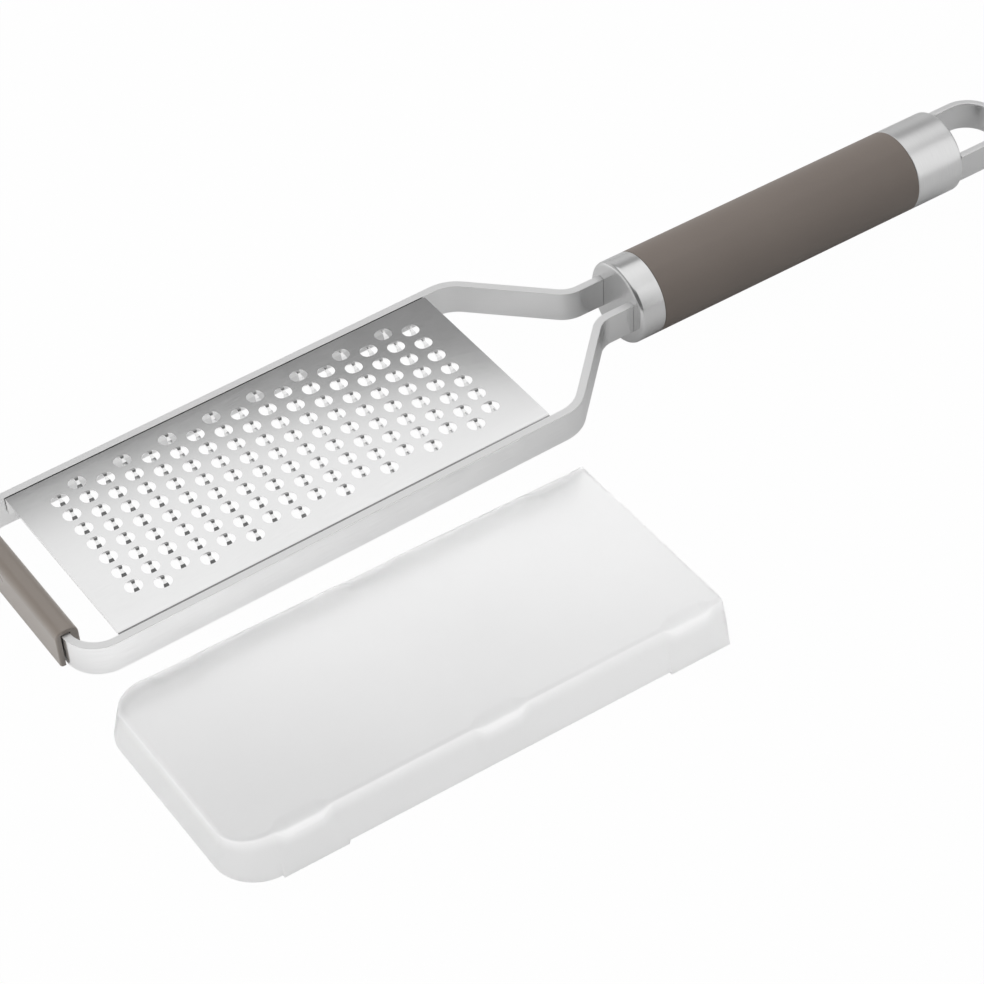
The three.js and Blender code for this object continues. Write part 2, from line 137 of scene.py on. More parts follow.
# %% Skin, the collector of grids
class Skin:
    """Grids of points in millimetres that become one closed mesh."""

    def __init__(self, place):
        self.place = place
        self.points = []
        self.uvs = []
        self.faces = []
        self.count = 0

    def add(self, points, uv, faces):
        """Keeps points and their UV, and faces that number these points from 0."""
        self.points.append(np.asarray(points, float).reshape(-1, 3))
        self.uvs.append(np.asarray(uv, float).reshape(-1, 2))
        self.faces.extend((np.asarray(face) + self.count).tolist() for face in faces)
        self.count += len(self.points[-1])

    def grid(self, points, uv=None):
        """A grid of points by rows and columns, joined by quads. Without a UV, x and y are used."""
        points = np.asarray(points, float)
        rows, columns = points.shape[:2]
        first = (np.arange(rows - 1)[:, None] * columns + np.arange(columns - 1)).ravel()
        corners = np.stack([first, first + 1, first + columns + 1, first + columns], -1)
        self.add(points, points[..., :2] if uv is None else uv, corners)

    def lid(self, outline):
        """One flat face with this outline."""
        outline = np.asarray(outline, float)
        self.add(outline, outline[:, :2], [np.arange(len(outline))])

    def tube(self, points, uv):
        """A grid whose rows are closed sections, with a lid on the first and on the last."""
        self.grid(points, uv)
        self.lid(points[0, :-1])
        self.lid(points[-1, :-1])

    def piece(self, name, body, nodes, material, sharp=40):
        """Welds the points into one mesh with its finish, and says what carries it and what it replaces."""
        weld = 1e-4
        points = np.concatenate(self.points)
        uvs = np.concatenate(self.uvs)
        _, first, number = np.unique(
            np.round(points / weld).astype(np.int64), axis=0, return_index=True, return_inverse=True)
        number = number.ravel()
        faces = []
        corners = []
        for face in self.faces:
            kept = [i for k, i in enumerate(face) if number[i] != number[face[k - 1]]]
            if len(kept) > 2:
                faces.append([int(number[i]) for i in kept])
                corners.extend(kept)
        mesh = bpy.data.meshes.new(name)
        mesh.from_pydata(self.place(points[first]) * MM, [], faces)
        layer = mesh.uv_layers.new(name="length")
        layer.data.foreach_set("uv", (uvs[corners] * MM).astype(np.float32).ravel())
        work = bmesh.new()
        work.from_mesh(mesh)
        bmesh.ops.recalc_face_normals(work, faces=work.faces)
        open_edges = sum(not edge.is_manifold for edge in work.edges)
        volume = work.calc_volume(signed=True) / MM ** 3
        work.to_mesh(mesh)
        work.free()
        mesh.polygons.foreach_set("use_smooth", [True] * len(mesh.polygons))
        mesh.set_sharp_from_angle(angle=math.radians(sharp))
        made = in_scene(name, mesh)
        evened = made.modifiers.new("flat_faces_stay_flat", "WEIGHTED_NORMAL")
        evened.keep_sharp = True
        made.data.materials.append(material)
        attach(made, body)
        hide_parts(*nodes)
        print(name, len(faces), "faces,", open_edges, "open edges,", round(volume), "mm3")


# %% [markdown]
# ## Finishes as expressions
# A finish is a small sum: a base colour, some noise, a mask. Written as nodes this takes many lines, so one
# class wraps a shader socket and lets Python's operators add the Math nodes.

# %% Wire, a shader socket in an expression
class Wire:
    """A shader socket that takes part in Python sums. Each operator adds one Math node to its tree."""

    def __init__(self, tree, socket=None):
        self.tree = tree
        self.socket = socket

    def node(self, kind, settings, inputs, output=0):
        """Adds a node, sets its settings, then its sockets by name or number, and wraps one output."""
        made = self.tree.nodes.new("ShaderNode" + kind)
        for name, value in settings.items():
            setattr(made, name, value)
        for name, value in inputs.items():
            if isinstance(value, Wire):
                self.tree.links.new(value.socket, made.inputs[name])
            else:
                made.inputs[name].default_value = value
        return Wire(self.tree, made.outputs[output] if made.outputs else None)

    def sum(self, operation, left, right):
        """One Math node."""
        return self.node("Math", {"operation": operation}, {0: left, 1: right})

    def __add__(self, other):
        return self.sum("ADD", self, other)

    def __sub__(self, other):
        return self.sum("SUBTRACT", self, other)

    def __rsub__(self, other):
        return self.sum("SUBTRACT", other, self)

    def __mul__(self, other):
        return self.sum("MULTIPLY", self, other)

    __radd__ = __add__
    __rmul__ = __mul__

    def ramp(self, low, high, to_low=0.0, to_high=1.0):
        """Carries low to high onto to_low to to_high, smoothly and clamped."""
        return self.node("MapRange", {"interpolation_type": "SMOOTHSTEP"},
                         {0: self, 1: low, 2: high, 3: to_low, 4: to_high})

    def colour(self, first, second):
        """A colour between two, by this value from 0 to 1."""
        return self.node("Mix", {"data_type": "RGBA"}, {0: self, 6: first, 7: second}, 2)

    def stretched(self, scale):
        """These coordinates with each axis scaled."""
        return self.node("VectorMath", {"operation": "MULTIPLY"}, {0: self, 1: scale})

    def noise(self, scale, detail):
        """Soft noise from 0 to 1 on these coordinates."""
        return self.node("TexNoise", {}, {"Vector": self, "Scale": scale, "Detail": detail})

    def part(self, axis):
        """One coordinate of these: 0, 1 or 2."""
        return self.node("SeparateXYZ", {}, {0: self}, axis)

    def bump(self, strength, distance):
        """A normal from this height."""
        return self.node("Bump", {}, {"Height": self, "Strength": strength, "Distance": distance})


def blank(owner):
    """A wire into the emptied node tree of a material or a world."""
    owner.use_nodes = True
    owner.node_tree.nodes.clear()
    return Wire(owner.node_tree)


def finish(name, constants, varying):
    """A material with one Principled shader: constants on its sockets, and links from varying(wire)."""
    material = bpy.data.materials.new(name)
    wire = blank(material)
    shader = wire.node("BsdfPrincipled", {}, {**constants, **varying(wire)})
    wire.node("OutputMaterial", {}, {"Surface": shader})
    print("finish", name, len(wire.tree.nodes), "nodes")
    return material


# %% [markdown]
# ## Steel finishes
# The strip is drawn and then brushed along its length, the sheet of the plate is rolled with a fine satin
# grain, and the ferrule and cap are turned, so their grain runs round them. All are the same metal with a
# noise that is stretched along the grain. It varies the grey and the roughness, and lifts a tiny bump. The
# strip's cut upper edge is duller than its faces, and painted paler as a highlight for the light that its
# rounded edge catches.

# %% Steel finishes
OBJECT_COORDINATES = 3
UV_COORDINATES = 2
noise_low = 0.3
noise_high = 0.7
grain_detail = 3.0
grain_share = 0.7
grain_height = 0.000004
steel_cloud = 60.0
cloud_detail = 2.0
satin_depth = 0.08
plain_depth = 0.25
cut_width = 0.00245
cut_blend = 0.0001
# Paler colour of the cut edge: a painted highlight.
painted_edge_highlight = (0.91, 0.91, 0.91, 1)
cut_rough = 0.5
brushed = (120, 9000, 1)
rolled = (250, 9000, 250)
turned_round = (150, 9000, 1)
unworked = (900, 900, 900)


def grained_steel(name, greys, roughness, grains,
                  coordinates=UV_COORDINATES, depth=satin_depth, cut_edge=None):
    """Steel whose grey, roughness and height follow one noise, with so many grains a metre on each axis.

    A strip's UV runs across its upper edge first. Up to that edge's width, its roughness is cut_edge, and
    its colour is painted paler as a highlight.
    """
    def varying(wire):
        place = wire.node("TexCoord", {}, {}, coordinates)
        grain = place.stretched(grains).noise(1.0, grain_detail)
        cloud = place.noise(steel_cloud, cloud_detail)
        mixed = grain * grain_share + cloud * (1 - grain_share)
        rough = mixed.ramp(noise_low, noise_high, *roughness)
        colour = mixed.ramp(noise_low, noise_high).colour(*[(grey, grey, grey, 1) for grey in greys])
        if cut_edge:
            face = place.part(1).ramp(cut_width, cut_width + cut_blend)
            rough = cut_edge + face * (rough - cut_edge)
            # Painted highlight: the cut edge is painted paler than the faces.
            colour = face.colour(painted_edge_highlight, colour)
        return {
            "Base Color": colour,
            "Roughness": rough,
            "Normal": grain.bump(depth, grain_height),
        }
    return finish(name, {"Metallic": 1.0}, varying)


strip_steel = grained_steel("strip_steel", (0.71, 0.78), (0.17, 0.22), brushed, cut_edge=cut_rough)
plate_steel = grained_steel("plate_steel", (0.80, 0.86), (0.09, 0.12), rolled, OBJECT_COORDINATES)
ferrule_steel = grained_steel("ferrule_steel", (0.72, 0.79), (0.20, 0.26), turned_round)
cap_steel = grained_steel("cap_steel", (0.76, 0.83), (0.28, 0.35), turned_round)
inner_steel = grained_steel(
    "inner_steel", (0.50, 0.60), (0.35, 0.45), unworked, OBJECT_COORDINATES, plain_depth)

# %% [markdown]
# ## Plastic finishes
# The grip and the foot are a soft-touch taupe with a very fine even grain, matte on the grip and a little
# glossier on the foot. The cover is a thin frosted plastic that lets most light through, the same all over,
# so that is set on the shader's own socket. Its frost is a fine bump with a little change in roughness. Its
# colour carries painted light: painted shade makes it greyer towards the near front corner, away from the
# softbox, painted light makes the walls lighter, and a painted highlight runs white along the top edge. The
# last two follow the rows of the cover's section, which its UV map counts.

# %% Plastic finishes
def soft_touch(name, colours, roughness, gloss):
    """Taupe plastic with a fine even grain and a slow cloud."""
    def varying(wire):
        place = wire.node("TexCoord", {}, {}, OBJECT_COORDINATES)
        grain = place.noise(soft_grain, cloud_detail)
        cloud = place.noise(soft_cloud, cloud_detail)
        mixed = grain * soft_grain_share + cloud * (1 - soft_grain_share)
        return {
            "Base Color": mixed.ramp(noise_low, noise_high).colour(*colours),
            "Roughness": cloud.ramp(noise_low, noise_high, *roughness),
            "Normal": grain.bump(soft_depth, plastic_height),
        }
    return finish(name, {"Specular IOR Level": gloss, "Sheen Weight": soft_sheen}, varying)


def hard_core(wire):
    """Dark hard plastic with a slow cloud."""
    place = wire.node("TexCoord", {}, {}, OBJECT_COORDINATES)
    cloud = place.noise(core_cloud, cloud_detail)
    return {
        "Base Color": cloud.ramp(noise_low, noise_high).colour(*core_colours),
        "Roughness": cloud.ramp(noise_low, noise_high, *core_roughness),
    }


def frost_and_painted_light(wire):
    """Frosted plastic with painted shade at its near front corner, and painted light on walls and edge."""
    place = wire.node("TexCoord", {}, {}, OBJECT_COORDINATES)
    row = wire.node("TexCoord", {}, {}, UV_COORDINATES).part(1) * (1 / MM)
    grain = place.noise(frost_grain, cloud_detail)
    cloud = place.noise(frost_cloud, grain_detail)
    # Painted shade: darker towards the near front corner, lighter towards the softbox, mixed with a cloud.
    painted_light_share = (place.part(0) + place.part(1) * shade_slant).ramp(shade_deepest_at, shade_gone_at)
    # Painted highlight: white along the rows of the rounded top edge.
    ridge_highlight = row.ramp(*ridge_highlight_begins) * (1 - row.ramp(*ridge_highlight_ends))
    # Painted light: the wall's lower rows are painted lighter than the top.
    wall = 1 - row.ramp(*lightened_wall_rows)
    painted_shade_and_cloud = painted_light_share * (1 - frost_cloud_share) + cloud * frost_cloud_share
    colour = painted_shade_and_cloud.colour(shaded_top_colour, lit_top_colour)
    for mask, tone in ((wall, painted_shade_and_cloud.colour(shaded_wall_colour, lit_wall_colour)), (ridge_highlight, edge_highlight_colour)):
        colour = mask.colour(colour, tone)
    return {
        "Base Color": colour,
        "Roughness": (cloud * 0.5 + grain * 0.5).ramp(noise_low, noise_high, *frost_roughness),
        "Normal": grain.bump(frost_depth, plastic_height),
    }


soft_grain = 5200.0
soft_cloud = 45.0
soft_grain_share = 0.4
soft_depth = 0.2
soft_sheen = 0.08
plastic_height = 0.00002
grip_colours = ((0.208, 0.174, 0.152, 1), (0.232, 0.197, 0.172, 1))
foot_colours = ((0.225, 0.190, 0.163, 1), (0.250, 0.214, 0.184, 1))
core_colours = ((0.09, 0.08, 0.07, 1), (0.12, 0.105, 0.09, 1))
core_roughness = (0.5, 0.65)
core_cloud = 300.0
frost_grain = 3800.0
frost_cloud = 38.0
frost_cloud_share = 0.2
frost_depth = 0.15
frost_roughness = (0.5, 0.6)
# The cover's colours are painted light: a painted highlight on the edge rows, lighter painted walls, and
# painted shade towards the near front corner.
ridge_highlight_begins = (1.4, 2.2)
ridge_highlight_ends = (3.4, 4.6)
lightened_wall_rows = (2.0, 6.0)
shade_slant = 2
shade_deepest_at = -0.33
shade_gone_at = -0.06
shaded_top_colour = (0.71, 0.71, 0.71, 1)
lit_top_colour = (0.95, 0.95, 0.95, 1)
shaded_wall_colour = (0.83, 0.83, 0.83, 1)
lit_wall_colour = (0.97, 0.97, 0.97, 1)
edge_highlight_colour = (1, 1, 1, 1)
grip_plastic = soft_touch("grip_plastic", grip_colours, roughness=(0.55, 0.64), gloss=0.5)
foot_plastic = soft_touch("foot_plastic", foot_colours, roughness=(0.27, 0.33), gloss=1.0)
core_plastic = finish("core_plastic", {}, hard_core)
frosted_plastic = finish("frosted_plastic", {"Transmission Weight": 0.82, "IOR": 1.15}, frost_and_painted_light)

# %% [markdown]
# ## Profiles and paths
# A strip is bent from flat stock, so it is a rounded rectangle carried along a line of straights and bends.
# Only half of that line is drawn. The other half is its mirror image across the middle.

# %% Profiles and paths
def arc(centre_x, centre_y, radius, start, stop, steps):
    """Points round a centre, from one angle to another in degrees."""
    angle = np.radians(np.linspace(start, stop, steps + 1))
    return np.stack([centre_x + radius * np.cos(angle), centre_y + radius * np.sin(angle)], -1)


def rounded_rectangle(width, height, radius, steps=4):
    """Closed outline about the origin: quarter circles at four corners, first point repeated at the end."""
    turn = np.radians(np.linspace(0, 90, steps + 1) + np.array([[0], [90], [180], [270]]))
    corner = np.array([[1, 1], [-1, 1], [-1, -1], [1, -1]]) * [width / 2 - radius, height / 2 - radius]
    round_part = radius * np.stack([np.cos(turn), np.sin(turn)], -1)
    outline = (corner[:, None, :] + round_part).reshape(-1, 2)
    return np.concatenate([outline, outline[:1]])


def bent_line(start, heading, legs, bend_step=4):
    """Points and headings along straights (length, 0) and bends (radius, turn), with turns in degrees."""
    places = [np.array([start], float)]
    headings = [np.radians([heading])]
    for size, turn in legs:
        place = places[-1][-1]
        angle = headings[-1][-1]
        if turn == 0:
            angles = np.array([angle])
            step = size * np.array([[math.cos(angle), math.sin(angle)]])
        else:
            count = math.ceil(abs(turn) / bend_step)
            angles = angle + math.radians(turn) * np.arange(1, count + 1) / count
            side = math.copysign(size, turn)
            step = side * np.stack([np.sin(angles) - math.sin(angle), math.cos(angle) - np.cos(angles)], -1)
        places.append(place + step)
        headings.append(angles)
    return np.concatenate(places), np.concatenate(headings)


def whole_line(places, headings):
    """The half line and its mirror image across y = 0, from the mirrored end to the drawn end."""
    mirrored = places[:0:-1] * [1, -1]
    turned = np.pi - headings[:0:-1]
    return np.concatenate([mirrored, places]), np.concatenate([turned, headings])


def lengths(points):
    """Distance along a line of points, from 0."""
    return np.concatenate([[0], np.cumsum(np.linalg.norm(np.diff(points, axis=0), axis=1))])


def carried(skin, places, headings, section, heights):
    """Carries a section along a level line: place + across * left of heading, with heights scaled."""
    left = np.stack([-np.sin(headings), np.cos(headings)], -1)
    plan = places[:, None, :] + section[None, :, :1] * left[:, None, :]
    height = section[None, :, 1] * heights[:, None]
    grid = np.concatenate([plan, height[..., None]], -1)
    along = np.broadcast_to(lengths(places)[:, None], height.shape)
    round_section = np.broadcast_to(lengths(section)[None, :], height.shape)
    skin.tube(grid, np.stack([along, round_section], -1))


# %% [markdown]
# ## Strip frame
# One flat steel strip goes round the front in a U, passes the plate on both sides, turns in at 45 degrees
# and back again, and its two ends run as tangs into the ferrule. Behind the second bend it follows the
# handle's droop. Inside the ferrule the tangs are lower, which shows as a scale on the section's height.

# %% Strip frame
plate_length = 134.5
plate_width = 62
gap = 0.3
strip_thickness = 2.3
strip_height = 9.6
strip_edge = 0.12
front_slot = 10
corner_radius = 9.35
arm_start = 3.4
arm_radius = 11.5
arm_angle = 45
arm_length = 27.5587
tang_radius = 8
tang_length = 26
tang_shoulder = 10
tang_height = 6.4
step_length = 0.01

side_line = plate_width / 2 + gap + strip_thickness / 2
front_line = -plate_length / 2 - front_slot - strip_thickness / 2


def droop_behind(points):
    """Points behind the arms' second bend follow the handle's slope, the others stay level."""
    shifted = points - [handle_start, 0, 0]
    sloped = turned_down(shifted, handle_droop)
    return np.where(shifted[..., :1] > 0, sloped, shifted) + [handle_start, 0, 0]


frame_places, frame_headings = whole_line(*bent_line((front_line, 0), -90, [
    (side_line - corner_radius, 0), (corner_radius, 90),
    (plate_length / 2 + arm_start - front_line - corner_radius, 0), (arm_radius, arm_angle),
    (arm_length, 0), (tang_radius, -arm_angle),
    (tang_shoulder, 0), (step_length, 0), (tang_length - tang_shoulder - step_length, 0)]))
frame_heights = np.ones(len(frame_places))
frame_heights[[0, 1, -2, -1]] = tang_height / strip_height

frame_skin = Skin(lambda points: grater_place(droop_behind(points)))
carried(frame_skin, frame_places, frame_headings,
        rounded_rectangle(strip_thickness, strip_height, strip_edge), frame_heights)
frame_skin.piece("strip_frame", "grater", ["frame_strip"], strip_steel)

# %% [markdown]
# ## Grating plate
# The teeth are staggered holes, each crossed by a raised bridge, a little aslant. A bridge has a steep far
# leg and a near side in three slopes, steep, gentle and steep, with a waist. A Boolean with over a hundred
# cutters would leave a ragged mesh, so the sheet is tiled instead: each tooth has its own cell, a ring of
# quads from the hole's edge to a rectangle. Cells of neighbouring columns are half a pitch apart, and their
# borders are cut in steps that still meet.

# %% One tooth's cell
plate_thickness = 0.8
column_pitch = 7
row_pitch = 6.61
column_count = 17
long_column_teeth = 8
tooth_forward = 0.22
tooth_aside = 1.4
hole_length = 5.0
hole_width = 4.5
hole_square = 0.85
hole_flare = 1.2
root_start = 69
root_stop = 99
near_turn = 9
side_steps = 6
root_steps = 4
ring_middle = 0.35


def cell_border():
    """The cell's rectangle in equal steps, anticlockwise from its far right corner, closed."""
    step = np.arange(side_steps) / side_steps
    far = np.stack([0.5 - step, np.full(side_steps, 0.5)], -1)
    left = np.stack([np.full(side_steps, -0.5), 0.5 - step], -1)
    border = np.concatenate([far, left, -far, -left]) * [column_pitch, row_pitch]
    return np.concatenate([border, border[:1]])


def hole_edge():
    """The hole's edge with as many points as the border: a squarish oval by angle.

    It runs along the far root of the bridge, the left lobe, the near root and the right lobe.
    """
    lobe_steps = 2 * side_steps - root_steps
    near_start = 360 - root_stop - near_turn
    near_stop = 360 - root_start - near_turn
    spans = [(root_start, root_stop, root_steps), (root_stop, near_start, lobe_steps),
             (near_start, near_stop, root_steps), (near_stop, 360 + root_start, lobe_steps)]
    turns = [np.linspace(start, stop, steps + 1)[:-1] for start, stop, steps in spans]
    angle = np.radians(np.concatenate(turns))
    circle = np.stack([np.cos(angle), np.sin(angle)], -1)
    oval = np.sign(circle) * np.abs(circle) ** hole_square * [hole_length / 2, hole_width / 2]
    edge = np.roll(oval, 1, axis=0)
    return np.concatenate([edge, edge[:1]])


def at_height(plan, z):
    """Points of [x, y] at one height."""
    return np.concatenate([plan, np.full(plan.shape[:-1] + (1,), z)], -1)


border = cell_border()
edge = hole_edge()
ring_share = np.array([0, ring_middle, 1])[:, None, None]
cell_top = at_height(edge + (border - edge) * ring_share, 0)
cell_bottom = at_height(np.stack([edge * hole_flare, border]), -plate_thickness)
print("cell", cell_top.shape, "hole edge", len(edge) - 1, "points")

# %% One tooth's bridge
bridge_thickness = 0.35
bridge_rows = np.array([-1, -0.63, -0.26, -0.1, 0.1, 0.35, 0.7, 0.85, 1])[:, None]
bridge_heights = np.array([0, 0.66, 1.26, 1.3, 0.9, 0.75, 0.55, 0.27, 0])[:, None]
bridge_widths = np.array([1.5, 1.35, 1.2, 1.15, 0.75, 0.8, 1.25, 1.45, 1.55])[:, None]


def bridge_surface(low):
    """From root to root (rows) and across (columns), each row with its own width and height.

    low is 0 for the upper face and 1 for the lower one, which starts at the hole's lower edge and runs a
    bridge's thickness under the crest.
    """
    flare = 1 + low * (hole_flare - 1)
    far_root = edge[1:root_steps + 2]
    near_root = edge[2 * side_steps + 1:2 * side_steps + root_steps + 2][::-1]
    across = np.linspace(0.5, -0.5, root_steps + 1)
    near_share = (1 + bridge_rows) / 2
    middle = far_root[:, 0].mean() * (1 - near_share) + near_root[:, 0].mean() * near_share
    x = middle + bridge_widths * across
    y = far_root[:, 1] * (1 - near_share) + near_root[:, 1] * near_share
    x[0], y[0] = flare * far_root.T
    x[-1], y[-1] = flare * near_root.T
    raised = bridge_heights / bridge_heights.max()
    depth = low * (plate_thickness + (bridge_thickness - plate_thickness) * raised)
    return np.stack([x, y, bridge_heights - depth + 0 * x], -1)


bridge_upper = bridge_surface(0)
bridge_lower = bridge_surface(1)
bridge_sides = [np.stack([bridge_upper[:, k], bridge_lower[:, k]], 1) for k in (0, -1)]
left_lobe = slice(1 + root_steps, 2 * side_steps + 2)
right_lobe = slice(2 * side_steps + 1 + root_steps, None)
lobe_spans = (left_lobe, right_lobe, slice(0, 2))
lobe_walls = [np.stack([cell_top[0, span], cell_bottom[0, span]]) for span in lobe_spans]
print("bridge", bridge_upper.shape, "highest", bridge_upper[..., 2].max())

# %% [markdown]
# ## The sheet round the teeth
# Outside the field of teeth the sheet is plain. Its long sides are folded down, so each side is one profile
# carried along X: across the margin, round the bend and down the flange. The near fold shows a wider round
# than the far one, so each has its own radius. The lower face is the same with the inside radius, and thin
# edges close the sheet. Darker specks towards the foot suggest that the teeth are pressed a little higher
# there, so each tooth's height is scaled by its place.

# %% Sheet with its teeth
flange_depth = 5.4
fold_far = 0.35
fold_near = 1.2
fold_inside = 0.1
fold_steps = 6
press_middle = 1.035
press_slope = 0.0014
tooth_sharp = 18
field_x = column_count * column_pitch / 2
field_y = long_column_teeth * row_pitch / 2
plate_half = plate_width / 2


def tooth_centres():
    """Staggered columns: odd ones have the long count, even ones one tooth less."""
    column = np.arange(column_count)
    centres = []
    places = (column - (column_count - 1) / 2) * column_pitch
    counts = long_column_teeth - 1 + column % 2
    for place, count in zip(places, counts):
        rows = (np.arange(count) - (count - 1) / 2) * row_pitch
        centres.append(np.stack([np.full(count, place), rows], -1))
    return np.concatenate(centres) + [tooth_forward, tooth_aside]


def side_profile(field_edge, radius, depth):
    """From the field's edge over the margin, round the bend and down the flange, as [y, z]."""
    bend = arc(plate_half - depth - radius, -depth - radius, radius, 90, 0, fold_steps)
    return np.concatenate([[[field_edge, -depth]], bend, [[plate_half - depth, -flange_depth]]])


def level(x, y, z):
    """A grid over x (rows) and y (columns), at one height or with a height for each y."""
    return np.stack(np.broadcast_arrays(x[:, None], y, z), -1)


def upright(x, points):
    """Points of [y, z] in the upright plane at x."""
    return np.concatenate([np.full(points.shape[:-1] + (1,), x), points], -1)


sheet = Skin(lambda points: grater_place(points + [0, 0, strip_height / 2]))
centres = tooth_centres()
for x, y in centres:
    press = press_middle - press_slope * x
    for part in [cell_top, cell_bottom, bridge_upper, bridge_lower, *bridge_sides, *lobe_walls]:
        height = part[..., 2:]
        pressed = np.where(height > 0, height * press, height)
        sheet.grid(np.concatenate([part[..., :2], pressed], -1) + [x, y, 0])

column_steps = np.linspace(-field_x, field_x, column_count * side_steps + 1) + tooth_forward
row_steps = np.linspace(-field_y, field_y, long_column_teeth * side_steps + 1) + tooth_aside
length_steps = np.concatenate([[-plate_length / 2], column_steps, [plate_length / 2]])
end_places = length_steps[[0, -1]]
half_row = side_steps // 2
for z in (0, -plate_thickness):
    for column in range(0, column_count, 2):
        span = column_steps[column * side_steps:(column + 1) * side_steps + 1]
        sheet.grid(level(span, row_steps[:half_row + 1], z))
        sheet.grid(level(span, row_steps[-half_row - 1:], z))
    sheet.grid(level(length_steps[:2], row_steps, z))
    sheet.grid(level(length_steps[-2:], row_steps, z))

for side in (1, -1):
    fold = fold_far if side == 1 else fold_near
    field_edge = field_y + side * tooth_aside
    outer = side_profile(field_edge, fold, 0) * [side, 1]
    inner = side_profile(field_edge, fold_inside, plate_thickness) * [side, 1]
    rims = np.stack([outer, inner], 1)
    for end in end_places:
        sheet.grid(upright(end, rims))
    for profile in (outer, inner, rims[-1]):
        sheet.grid(level(length_steps, profile[:, 0], profile[:, 1]))
for end in end_places:
    sheet.grid(np.stack([level(np.array([end]), row_steps, z)[0] for z in (0, -plate_thickness)], 1))

sheet.piece("grating_plate", "grater", ["grater_plate"], plate_steel, tooth_sharp)
print(len(centres), "teeth")

# %% [markdown]
# ## Front foot
# A soft plastic channel sits over the front bar and keeps the grater from sliding. It is one extruded
# profile with a round top, so it is a section carried along Y, with slightly rounded ends.

# %% Front foot
corner_space = 0.1
foot_outer_wall = 1.5
foot_inner_wall = 2.3
foot_roof = 1.2
foot_drop = 0.8
foot_round = 2.6
foot_lower_round = 0.35
foot_end_round = 0.5
foot_end_steps = 3
small_arc = 3
large_arc = 8
foot_half = side_line - corner_radius - corner_space
foot_outer = -strip_thickness / 2 - gap - foot_outer_wall
foot_inner = strip_thickness / 2 + gap + foot_inner_wall
foot_top = strip_height / 2 + gap + foot_roof
foot_bottom = -strip_height / 2 - foot_drop


def foot_section(shrink):
    """The channel's closed outline in [x, z], its outer faces drawn in by shrink."""
    inside = strip_thickness / 2 + gap
    ceiling = strip_height / 2 + gap
    low = foot_bottom
    small = foot_lower_round
    round_top = foot_round - shrink
    outline = np.concatenate([
        arc(foot_inner - shrink - small, low + small, small, -90, 0, small_arc),
        arc(foot_inner - foot_round, foot_top - foot_round, round_top, 0, 90, large_arc),
        arc(foot_outer + foot_round, foot_top - foot_round, round_top, 90, 180, large_arc),
        arc(foot_outer + shrink + small, low + small, small, 180, 270, small_arc),
        [[-inside, low], [-inside, ceiling], [inside, ceiling], [inside, low]]])
    return np.concatenate([outline, outline[:1]])


end_turn = np.radians(np.linspace(0, 90, foot_end_steps + 1))
end_shrink = foot_end_round * (1 - np.sin(end_turn))
end_place = foot_half - foot_end_round * (1 - np.cos(end_turn))
foot_places = np.concatenate([-end_place, end_place[::-1]])
foot_shrinks = np.concatenate([end_shrink, end_shrink[::-1]])
foot_rows = np.stack([foot_section(shrink) for shrink in foot_shrinks])
foot_grid = np.stack(np.broadcast_arrays(
    front_line + foot_rows[..., 0], foot_places[:, None], foot_rows[..., 1]), -1)
foot_skin = Skin(grater_place)
foot_skin.tube(foot_grid, foot_grid[..., 1:])
foot_skin.piece("foot_channel", "grater", ["front_foot"], foot_plastic)

# %% [markdown]
# ## Handle
# The ferrule, grip and cap are turned parts: a profile of distance and radius, carried round the axis. The
# ferrule's front and the cap's rear are flat discs with slots for the strip ends. A flat face may have any
# outline, so each disc is two half lids that meet on the level line through both slots.

# %% Turning
turn_steps = 96
handle_radius = 12.5


def turned(skin, profile):
    """Carries a profile of [along, radius] round the axis: y = radius cos, z = radius sin."""
    profile = np.asarray(profile, float)
    angle = np.radians(np.linspace(0, 360, turn_steps + 1))[None, :]
    along = profile[:, :1] + 0 * angle
    points = np.stack([along, profile[:, 1:] * np.cos(angle), profile[:, 1:] * np.sin(angle)], -1)
    distance = np.broadcast_to(lengths(profile)[:, None], along.shape)
    skin.grid(points, np.stack([angle * handle_radius + 0 * along, distance], -1))


def slotted_disc(skin, along, radius, slot_middle, slot_width, slot_height):
    """A flat disc with two upright slots, as an upper and a lower half that meet on the level line."""
    inner = slot_middle - slot_width / 2
    outer = slot_middle + slot_width / 2
    half = slot_height / 2
    notch = np.array([[outer, 0], [outer, half], [inner, half], [inner, 0]])
    upper_edge = arc(0, 0, radius, 0, 180, turn_steps // 2)
    line = np.concatenate([upper_edge, notch * [-1, 1], notch[::-1]])
    for side in (1, -1):
        skin.lid(upright(along, line * [1, side]))


def slot_walls(skin, along_from, along_to, slot_middle, slot_width, slot_height, blind):
    """The walls of both slots between two places along the axis, with a floor where the slot is blind."""
    corners = np.array([[1, 0], [1, 1], [-1, 1], [-1, 0], [-1, -1], [1, -1], [1, 0]])
    outline = corners * [slot_width / 2, slot_height / 2]
    for side in (1, -1):
        ring = outline + [side * slot_middle, 0]
        rows = [upright(along, ring) for along in (along_from, along_to)]
        skin.grid(np.stack(rows))
        if blind:
            skin.lid(rows[1][:-1])


# %% Ferrule
ferrule_start = 7.9
ferrule_length = 8.4
ferrule_wall = 2.5
ferrule_shell = 1.2
rim_round = 1.2
rear_round = 0.25
tang_spacing = 14.5
slot_clearance = 0.08
ferrule_end = ferrule_start + ferrule_length
cup_radius = handle_radius - ferrule_shell

